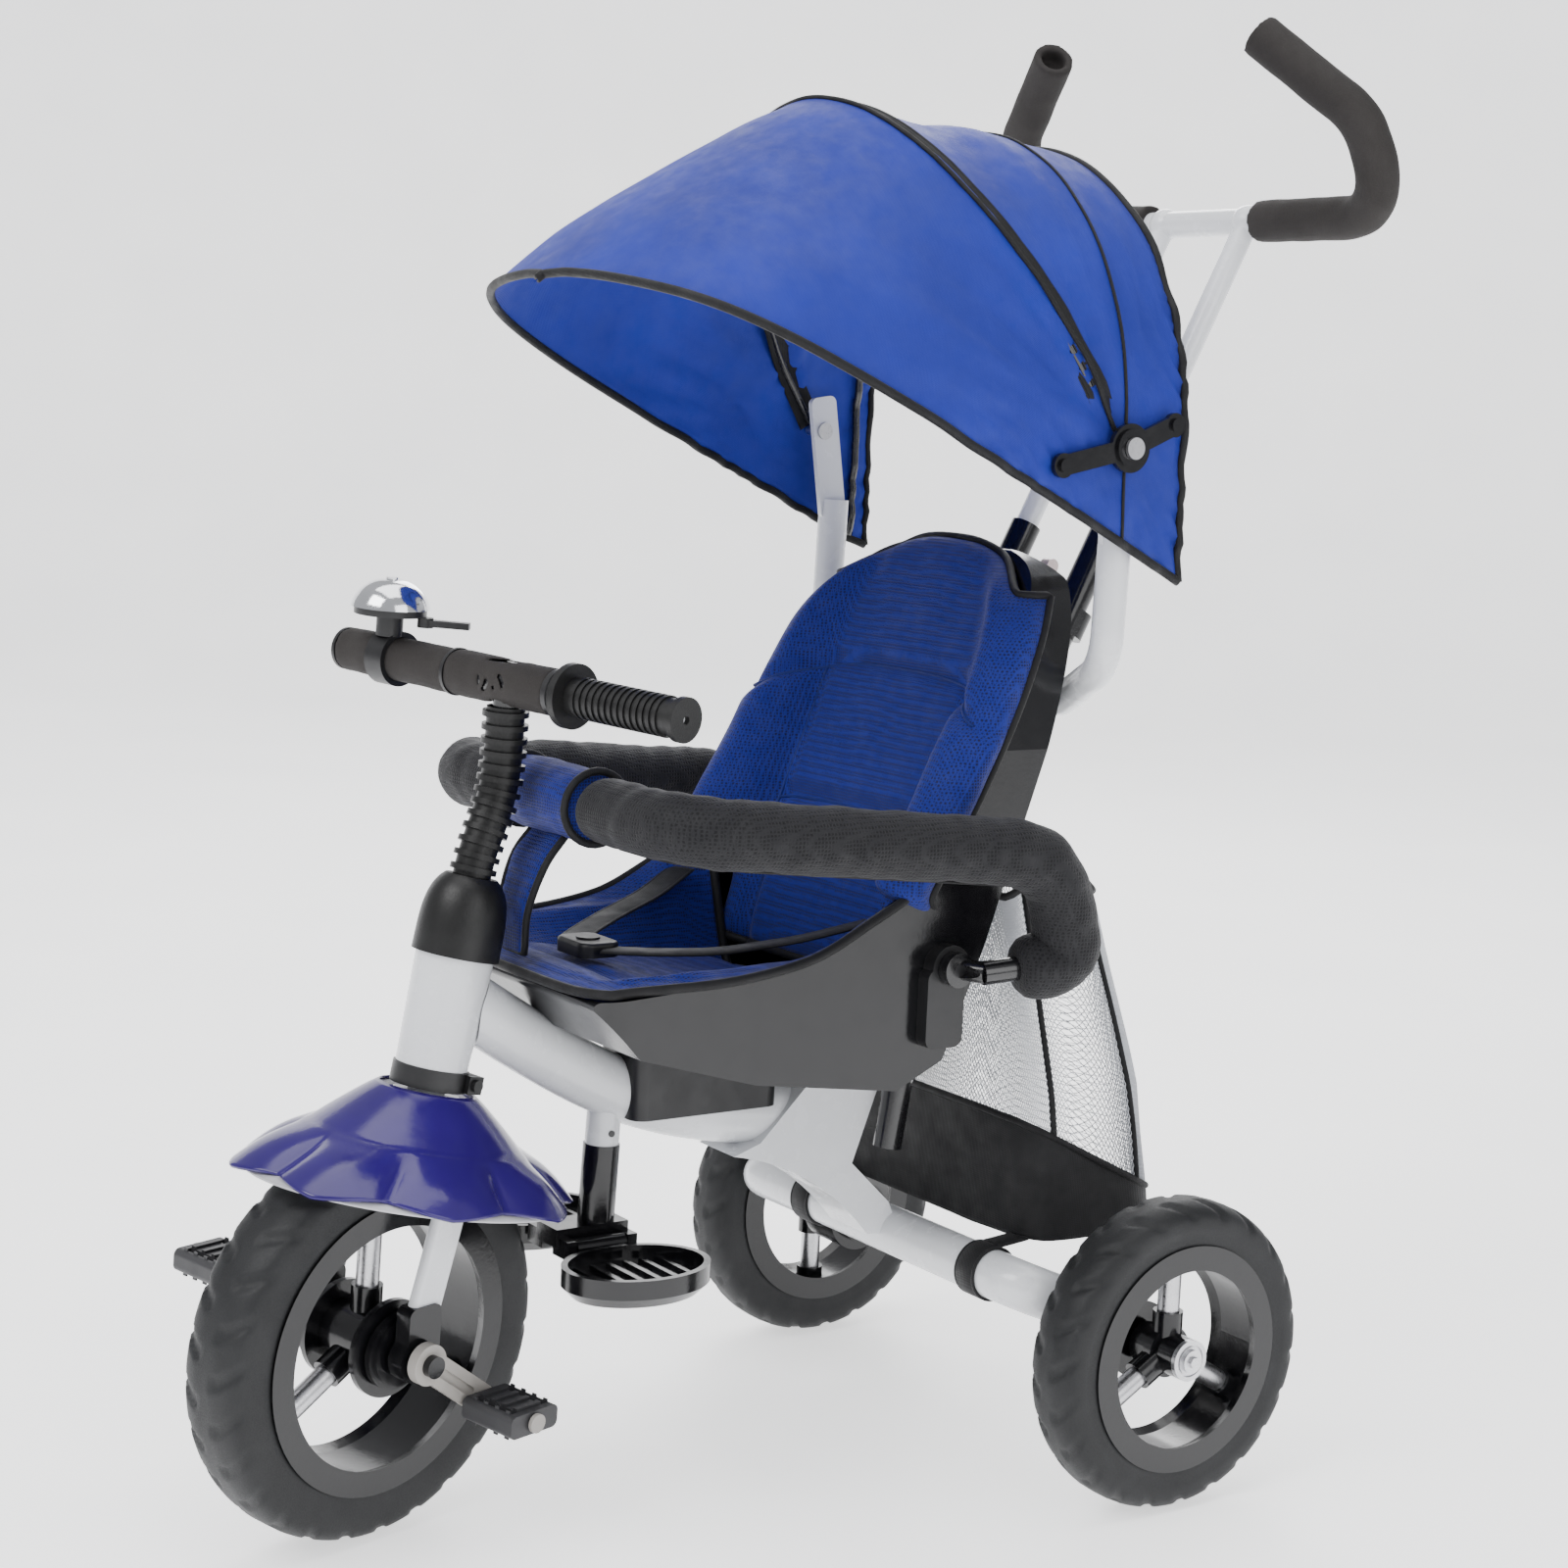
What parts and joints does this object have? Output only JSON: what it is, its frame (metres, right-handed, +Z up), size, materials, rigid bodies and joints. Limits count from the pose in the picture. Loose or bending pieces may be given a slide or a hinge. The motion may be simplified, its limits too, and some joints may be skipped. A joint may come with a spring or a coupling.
{
  "type": "children tricycle",
  "caption": "Children's push tricycle: pedalled front wheel, spoked rear wheels, padded bucket seat with guard bar, tilting hood, net bag and rear push handle",
  "frame": {"origin": "on the ground under the middle of the overall length and width", "axes": "+Z up, the rider faces -Y, +X to the rider left"},
  "size_m": [0.539, 0.9071, 1.1351],
  "materials": {
    "tyre_rubber": "matte",
    "frame_paint": "gloss",
    "black_plastic": "gloss",
    "satin_black": "satin",
    "indigo_plastic": "gloss",
    "grey_plastic": "satin",
    "bright_metal": "brushed",
    "chrome": "polished",
    "black_metal": "satin",
    "foam": "matte",
    "boot_rubber": "satin",
    "hood_fabric": "woven",
    "seat_fabric": "mesh",
    "guard_mesh": "mesh",
    "net": "mesh",
    "bag_fabric": "woven",
    "strap": "woven",
    "lever_pink": "gloss"
  },
  "bodies": {
    "frame": {"head_tube": "frame_paint", "main_tube": "frame_paint", "rear_tube": "frame_paint", "rear_axles": "black_plastic", "back_posts": "black_metal", "handle_clamp": "black_plastic", "hood_frame": "frame_paint", "hood_pivot_bolts": "bright_metal", "seat_shell": "black_plastic", "seat_brackets": "satin_black", "seat_cushion": "seat_fabric", "back_cushion": "seat_fabric", "footrest_post": "black_plastic", "webbing": "strap", "belt_buckle": "black_plastic", "bag_net": "net", "bag_panel": "bag_fabric"},
    "clamp_lever": {"handle_clamp_lever": "lever_pink"},
    "guard": {"guard_tube": "black_metal", "guard_pads": "guard_mesh", "guard_wrap": "seat_fabric", "crotch_strap": "seat_fabric"},
    "push_handle": {"handle_stems": "frame_paint", "handle_grips": "foam"},
    "hood": {"hood_skin": "hood_fabric", "hood_hoops": "black_metal", "hood_brackets": "black_plastic", "hood_rivets": "black_plastic"},
    "steering": {"steering_stem": "black_metal", "head_cap": "boot_rubber", "steering_boot": "boot_rubber", "steering_clamp": "satin_black", "fork": "frame_paint", "fork_dropouts": "black_plastic", "fender_cover": "indigo_plastic", "fender_liner": "grey_plastic", "handlebar_tube": "frame_paint", "bar_pads": "foam", "bar_trim": "satin_black", "bar_grip_left": "boot_rubber", "bell_base": "satin_black", "bell_dome": "chrome"},
    "bell_thumb_lever": {"bell_lever": "satin_black"},
    "front_wheel": {"front_tyre": "tyre_rubber", "front_rim": "black_plastic", "front_spokes": "bright_metal", "front_hub": "black_plastic", "cranks": "grey_plastic"},
    "left_pedal": {"pedal_left": "satin_black"},
    "right_pedal": {"pedal_right": "satin_black"},
    "rear_left_wheel": {"rear_left_tyre": "tyre_rubber", "rear_left_rim": "black_plastic", "rear_left_spokes": "bright_metal", "rear_left_hub": "black_plastic"},
    "rear_right_wheel": {"rear_right_tyre": "tyre_rubber", "rear_right_rim": "black_plastic", "rear_right_spokes": "bright_metal", "rear_right_hub": "black_plastic"},
    "left_footrest": {"footrest_left": "black_plastic"},
    "right_footrest": {"footrest_right": "black_plastic"}
  },
  "joints": [
    {"name": "steering", "type": "hinge", "parent": "frame", "child": "steering", "pos_m": [0, -0.2605, 0.341], "axis": [0, 0.2028, 0.9792], "range_deg": [-46, 14]},
    {"name": "front_wheel_spin", "type": "hinge", "parent": "steering", "child": "front_wheel", "pos_m": [0.00264, -0.31014, 0.14665], "axis": [0.9613, 0.2699, -0.0559], "continuous": true},
    {"name": "left_pedal_spin", "type": "hinge", "parent": "front_wheel", "child": "left_pedal", "pos_m": [0.08026, -0.23257, 0.10285], "axis": [0.9613, 0.2699, -0.0559], "continuous": true},
    {"name": "right_pedal_spin", "type": "hinge", "parent": "front_wheel", "child": "right_pedal", "pos_m": [-0.07499, -0.3877, 0.19045], "axis": [0.9613, 0.2699, -0.0559], "continuous": true},
    {"name": "rear_left_spin", "type": "hinge", "parent": "frame", "child": "rear_left_wheel", "pos_m": [0.236, 0.2505, 0.12], "axis": [1, 0, 0], "continuous": true},
    {"name": "rear_right_spin", "type": "hinge", "parent": "frame", "child": "rear_right_wheel", "pos_m": [-0.236, 0.2505, 0.12], "axis": [1, 0, 0], "continuous": true},
    {"name": "hood_tilt", "type": "hinge", "parent": "frame", "child": "hood", "pos_m": [0, 0.1855, 0.802], "axis": [1, 0, 0], "range_deg": [0, 20]},
    {"name": "guard_lift", "type": "hinge", "parent": "frame", "child": "guard", "pos_m": [0, 0.0825, 0.416], "axis": [-1, 0, 0], "range_deg": [0, 60]},
    {"name": "handle_slide", "type": "slide", "parent": "frame", "child": "push_handle", "axis": [0, 0.4648, 0.8854], "range_m": [-0.04, 0.06]},
    {"name": "clamp_lever_open", "type": "hinge", "parent": "frame", "child": "clamp_lever", "pos_m": [-0.03, 0.28766, 0.65068], "axis": [-1, 0, 0], "range_deg": [0, 90]},
    {"name": "bell_thumb", "type": "hinge", "parent": "steering", "child": "bell_thumb_lever", "pos_m": [-0.09853, -0.2241, 0.64721], "axis": [0.0559, 0.0077, 0.9984], "range_deg": [0, 14], "stiffness_Nm_per_rad": 0.05},
    {"name": "left_footrest_fold", "type": "hinge", "parent": "frame", "child": "left_footrest", "pos_m": [0.024, -0.1295, 0.196], "axis": [0, -1, 0], "range_deg": [0, 24]},
    {"name": "right_footrest_fold", "type": "hinge", "parent": "frame", "child": "right_footrest", "pos_m": [-0.024, -0.1295, 0.196], "axis": [0, 1, 0], "range_deg": [0, 24]}
  ]
}
